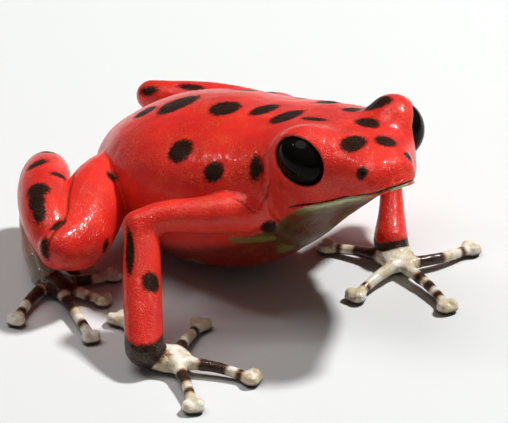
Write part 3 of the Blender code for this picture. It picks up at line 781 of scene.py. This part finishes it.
class Shader:
    """A node tree with short ways to make its nodes."""

    def __init__(self, name):
        self.material = bpy.data.materials.new(name)
        self.material.use_nodes = True
        self.tree = self.material.node_tree
        self.shader = self.tree.nodes["Principled BSDF"]

    def node(self, kind, **settings):
        """A node with its settings."""
        made = self.tree.nodes.new(kind)
        for key, value in settings.items():
            setattr(made, key, value)
        return made

    def put(self, socket, value):
        """A link or a constant into a socket."""
        if isinstance(value, bpy.types.NodeSocket):
            self.tree.links.new(value, socket)
        else:
            socket.default_value = value

    def attribute(self, name):
        """A number stored on the mesh."""
        return self.node("ShaderNodeAttribute", attribute_name=name).outputs["Fac"]

    def surface(self, **values):
        """Links or constants into the surface's sockets, whose names are written with underscores."""
        for name, value in values.items():
            self.put(self.shader.inputs[name.replace("_", " ")], value)

    def math(self, operation, *values):
        """One sum."""
        made = self.node("ShaderNodeMath", operation=operation)
        for socket, value in zip(made.inputs, values):
            self.put(socket, value)
        return made.outputs[0]

    def plus(self, first, second):
        """Two numbers added."""
        return self.math("ADD", first, second)

    def minus(self, first, second):
        """The second number taken from the first."""
        return self.math("SUBTRACT", first, second)

    def times(self, first, second):
        """Two numbers multiplied."""
        return self.math("MULTIPLY", first, second)

    def most(self, first, second):
        """The greater of two numbers."""
        return self.math("MAXIMUM", first, second)

    def step(self, value, low, high):
        """0 below low, 1 above high and smooth between them."""
        made = self.node("ShaderNodeMapRange", interpolation_type="SMOOTHSTEP")
        for name, given in (("Value", value), ("From Min", low), ("From Max", high)):
            self.put(made.inputs[name], given)
        return made.outputs["Result"]

    def mix(self, share, first, second):
        """Two colours mixed."""
        made = self.node("ShaderNodeMix", data_type="RGBA")
        self.put(made.inputs[0], share)
        self.put(made.inputs[6], first)
        self.put(made.inputs[7], second)
        return made.outputs[2]

    def noise(self, scale, detail=2.0):
        """Noise between 0 and 1 on the object's own coordinates, in waves to the metre."""
        made = self.node("ShaderNodeTexNoise")
        self.put(made.inputs["Vector"], self.coordinates())
        made.inputs["Scale"].default_value = scale
        made.inputs["Detail"].default_value = detail
        return made.outputs[0]

    def cells(self, scale):
        """Distance to the nearest of scattered points."""
        made = self.node("ShaderNodeTexVoronoi")
        self.put(made.inputs["Vector"], self.coordinates())
        made.inputs["Scale"].default_value = scale
        return made.outputs["Distance"]

    def bump(self, height, strength, distance):
        """Fine relief that is too small for the mesh."""
        made = self.node("ShaderNodeBump")
        self.put(made.inputs["Height"], height)
        made.inputs["Strength"].default_value = strength
        made.inputs["Distance"].default_value = distance
        return made.outputs[0]

    def coordinates(self):
        """The object's own coordinates."""
        for made in self.tree.nodes:
            if made.type == "TEX_COORD":
                return made.outputs["Object"]
        return self.node("ShaderNodeTexCoord").outputs["Object"]


RED = (0.87, 0.026, 0.015, 1.0)
DEEP_RED = (0.68, 0.016, 0.010, 1.0)
ORANGE_GLINT = (0.92, 0.24, 0.03, 1.0)
NEAR_BLACK = (0.018, 0.008, 0.005, 1.0)
SPOT_EDGE = (0.10, 0.014, 0.006, 1.0)
CREAM = (0.66, 0.55, 0.36, 1.0)
CREAM_LIGHT = (0.90, 0.86, 0.74, 1.0)
BROWN = (0.032, 0.011, 0.006, 1.0)
TAN = (0.26, 0.11, 0.04, 1.0)
PALE = (0.15, 0.145, 0.03, 1.0)
PALE_LIP = (0.46, 0.50, 0.27, 1.0)
RUST = (0.26, 0.035, 0.012, 1.0)
GREY = (0.33, 0.29, 0.21, 1.0)
BELLY_SHADE = (0.07, 0.007, 0.003, 1.0)
OLIVE = (0.34, 0.20, 0.05, 1.0)
EYE_DARK = (0.002, 0.002, 0.002, 1.0)
EYE_BROWN = (0.008, 0.006, 0.004, 1.0)
WARM_GLOSS = (1.0, 0.62, 0.35, 1.0)

# Strength and height in metres of the fine relief.
SKIN_RELIEF = (0.8, 0.00004)
EYE_RELIEF = (0.25, 0.00004)


def body_colour(b, wobble, grain):
    """The colour of the body and limbs, and how dull they are."""
    colour = b.mix(b.step(b.noise(350.0, 2.0), 0.35, 0.65), DEEP_RED, RED)
    # painted glints: orange flecks on the tops of the granules stand for their warm sheen
    glint_flecks = b.times(b.step(b.noise(1200.0, 2.0), 0.45, 0.7), 0.45)
    colour = b.mix(b.times(grain, glint_flecks), colour, ORANGE_GLINT)
    # the throat, the pale lower lip, the belly's painted shade and painted reflection, and the chest's streak
    under = b.plus(b.attribute("under_mouth"), wobble)
    along = b.attribute("along")
    lower = b.minus(under, b.times(b.step(along, 0.86, 0.68), 0.38))
    lower = b.plus(lower, b.times(b.step(along, 0.88, 0.96), 0.06))
    throat = b.times(b.step(lower, 0.02, 0.12), b.step(along, 0.54, 0.62))
    colour = b.mix(throat, colour, b.mix(b.step(b.noise(800.0, 3.0), 0.50, 0.64), PALE, RUST))
    lip = b.times(b.step(lower, 0.02, 0.08), b.step(lower, 0.42, 0.22))
    colour = b.mix(b.times(lip, b.step(along, 0.76, 0.84)), colour, PALE_LIP)
    # painted shade: the skin is darkened further down the underside, below the line of the mouth
    shaded = b.step(under, 0.1, 0.9)
    colour = b.mix(b.times(shaded, 0.85), colour, BELLY_SHADE)
    # painted reflection: olive blotches low on the belly stand for reflected green
    reflected_blotches = b.times(b.step(under, 0.9, 1.8), b.step(b.noise(700.0, 3.0), 0.54, 0.62))
    colour = b.mix(b.times(reflected_blotches, 0.8), colour, PALE)
    streak = b.step(b.plus(b.attribute("streak"), wobble), 0.26, 0.12)
    colour = b.mix(b.times(streak, 0.8), colour, PALE)
    # the dark spots, the line of the mouth, painted shade in the folds and nostrils, and the rims of the lids
    speckle = b.times(b.minus(b.noise(9000.0, 1.0), 0.5), 0.30)
    fine = b.times(speckle, 0.2)
    spot = b.plus(b.plus(b.attribute("spot"), b.times(wobble, 0.4)), speckle)
    spotted = b.step(spot, 0.16, -0.10)
    colour = b.mix(spotted, colour, b.mix(b.times(grain, 0.35), NEAR_BLACK, SPOT_EDGE))
    mouth_line = b.step(b.plus(b.attribute("mouth"), fine), 0.065, 0.025)
    colour = b.mix(b.times(mouth_line, 0.9), colour, BROWN)
    # painted shade: the grooves of the folds are darkened
    fold_shade = b.times(b.step(b.plus(b.attribute("fold"), fine), 0.04, -0.03), 0.9)
    colour = b.mix(fold_shade, colour, SPOT_EDGE)
    # painted shade: the nostril hollows are darkened almost to black
    colour = b.mix(b.step(b.plus(b.attribute("nostril"), wobble), 0.40, 0.26), colour, NEAR_BLACK)
    colour = b.mix(b.step(b.attribute("lid"), 0.10, 0.06), colour, OLIVE)
    dull = b.most(b.most(spotted, fold_shade), b.times(throat, 0.9))
    return colour, b.most(dull, b.times(shaded, 0.8))


def cream_colour(b, wobble):
    """The cream of the hands and feet, with its stains, its bands and its dark undersides."""
    cream = b.mix(b.step(b.noise(1500.0, 3.0), 0.4, 0.62), CREAM, CREAM_LIGHT)
    stained = b.step(b.plus(b.attribute("stain"), b.times(wobble, 2.0)), 0.15, -0.35)
    cream = b.mix(b.times(stained, b.step(b.noise(2600.0, 3.0), 0.40, 0.58)), cream, TAN)
    band = b.plus(b.attribute("band"), b.times(wobble, 0.8))
    cream = b.mix(b.step(band, -0.20, 0.02), cream, TAN)
    cream = b.mix(b.step(band, -0.05, 0.07), cream, BROWN)
    height = b.plus(b.attribute("height"), b.times(wobble, 0.5))
    return b.mix(b.step(height, 0.30, 0.17), cream, BROWN)


def skin_material():
    """The wet granular skin: red with dark spots, cream hands and feet, and a pale throat."""
    b = Shader("frog_skin")
    rough = b.noise(2500.0, 3.0)
    wobble = b.times(b.minus(rough, 0.5), 0.30)
    grain = b.step(b.cells(13000.0), 0.55, 0.10)
    colour, dull = body_colour(b, wobble, grain)
    # the dark wrists, the grey tarsi and the cream of the hands and feet
    edge = b.plus(b.attribute("cream"), wobble)
    colour = b.mix(b.step(edge, -0.80, -0.62), colour, BROWN)
    colour = b.mix(b.step(b.plus(b.attribute("wrist"), wobble), 0.12, -0.08), colour, BROWN)
    tarsus = b.step(b.plus(b.attribute("tarsus"), wobble), -0.1, 0.25)
    colour = b.mix(b.times(tarsus, 0.75), colour, GREY)
    colour = b.mix(b.step(edge, -0.02, 0.10), colour, cream_colour(b, wobble))
    relief = b.bump(b.plus(b.times(grain, 0.5), rough), *SKIN_RELIEF)
    b.surface(
        Base_Color=colour,
        Roughness=b.plus(b.times(b.noise(4000.0), 0.15), 0.33),
        Specular_IOR_Level=b.minus(0.16, b.times(dull, 0.10)),
        Specular_Tint=WARM_GLOSS,
        Coat_Weight=b.minus(0.65, b.times(dull, 0.56)),
        Coat_Roughness=0.15,
        Coat_IOR=1.5,
        Subsurface_Weight=0.05,
        Subsurface_Scale=0.0003,
        Normal=relief,
        Coat_Normal=relief,
    )
    return b.material


def eye_material():
    """A glossy, almost black eye."""
    b = Shader("frog_eye")
    b.surface(
        Base_Color=b.mix(b.noise(1800.0, 4.0), EYE_DARK, EYE_BROWN),
        Roughness=0.08,
        Specular_IOR_Level=0.06,
        Normal=b.bump(b.noise(2200.0, 3.0), *EYE_RELIEF),
    )
    return b.material


mesh.materials.append(skin_material())
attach(skin, "root")
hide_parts("torso", "head", *LIMBS, *PALMS)

eye_look = eye_material()
for side in EYES:
    centre, axes = eye_axes(side)
    place = Matrix([list(axis) for axis in axes]).transposed().to_4x4()
    place.translation = Vector((centre - MIDDLE) * MM)
    eye_mesh = bpy.data.meshes.new("eyeball_" + side)
    bm = bmesh.new()
    bmesh.ops.create_uvsphere(bm, u_segments=96, v_segments=64, radius=MM)
    bmesh.ops.scale(bm, vec=EYE_HALF_SIZES, verts=bm.verts)
    bm.to_mesh(eye_mesh)
    bm.free()
    eye_mesh.shade_smooth()
    eye = bpy.data.objects.new("eyeball_" + side, eye_mesh)
    bpy.context.scene.collection.objects.link(eye)
    eye.matrix_world = place
    eye_mesh.materials.append(eye_look)
    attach(eye, "root")
    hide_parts("eye_" + side)

# The camera, as the photograph was taken: angles in degrees, and distances in millimetres.
CAMERA_AZIMUTH = 42.0
CAMERA_ELEVATION = 29.0
CAMERA_DISTANCE = 200.0
CAMERA_TARGET = np.array((3.34, 2.94, 0.0))
FOCAL_PIXELS = 4136.0
IMAGE_WIDTH = 508.0
SENSOR_WIDTH = 36.0
azimuth, elevation = math.radians(CAMERA_AZIMUTH), math.radians(CAMERA_ELEVATION)
right = Vector((math.cos(azimuth), math.sin(azimuth), 0.0))
view = Vector((-math.sin(azimuth) * math.cos(elevation), math.cos(azimuth) * math.cos(elevation),
               -math.sin(elevation)))
camera = bpy.data.objects.new("camera", bpy.data.cameras.new("camera"))
pose = Matrix((right, right.cross(view), -view)).transposed().to_4x4()
pose.translation = (Vector(CAMERA_TARGET - MIDDLE) - view * CAMERA_DISTANCE) * MM
camera.matrix_world = pose
camera.data.sensor_width = SENSOR_WIDTH
camera.data.lens = FOCAL_PIXELS * SENSOR_WIDTH / IMAGE_WIDTH
camera.data.clip_start = 0.01
bpy.context.scene.collection.objects.link(camera)
bpy.context.scene.camera = camera

# A plain pale floor.
FLOOR_COLOUR = (0.72, 0.73, 0.72, 1.0)
bpy.ops.mesh.primitive_plane_add(size=1.2, location=(0.0, 0.0, 0.0))
floor = bpy.context.object
floor.name = "floor"
floor_paint = Shader("floor")
floor_paint.surface(Base_Color=FLOOR_COLOUR, Roughness=0.8)
floor.data.materials.append(floor_paint.material)

# Each light: the way to it from the frog, its distance and width in metres, and its power.
LIGHTS = {
    "key": ((0.15, 0.50, 0.85), 0.30, 0.034, 0.96),
    "top": ((-0.25, -0.15, 1.0), 0.35, 0.22, 0.34),
    "sky": ((-0.60, -0.28, 0.75), 0.35, 0.035, 0.08),
    "fill": ((0.2, -0.8, 1.0), 0.60, 0.60, 0.06),
}
AMBIENT_COLOUR = (0.88, 0.92, 0.95, 1.0)
AMBIENT_STRENGTH = 0.06


def area_light(name, direction, distance, size, power):
    """A soft round light that shines on the frog from a direction."""
    data = bpy.data.lights.new(name, "AREA")
    data.shape = "DISK"
    data.size = size
    data.energy = power
    light = bpy.data.objects.new(name, data)
    direction = Vector(direction).normalized()
    light.location = direction * distance
    light.rotation_euler = direction.to_track_quat("Z", "Y").to_euler()
    bpy.context.scene.collection.objects.link(light)


for name, settings in LIGHTS.items():
    area_light(name, *settings)
world = bpy.data.worlds.new("studio")
world.use_nodes = True
ambient = world.node_tree.nodes["Background"]
ambient.inputs[0].default_value = AMBIENT_COLOUR
ambient.inputs[1].default_value = AMBIENT_STRENGTH
bpy.context.scene.world = world
bpy.context.scene.view_settings.view_transform = "Standard"
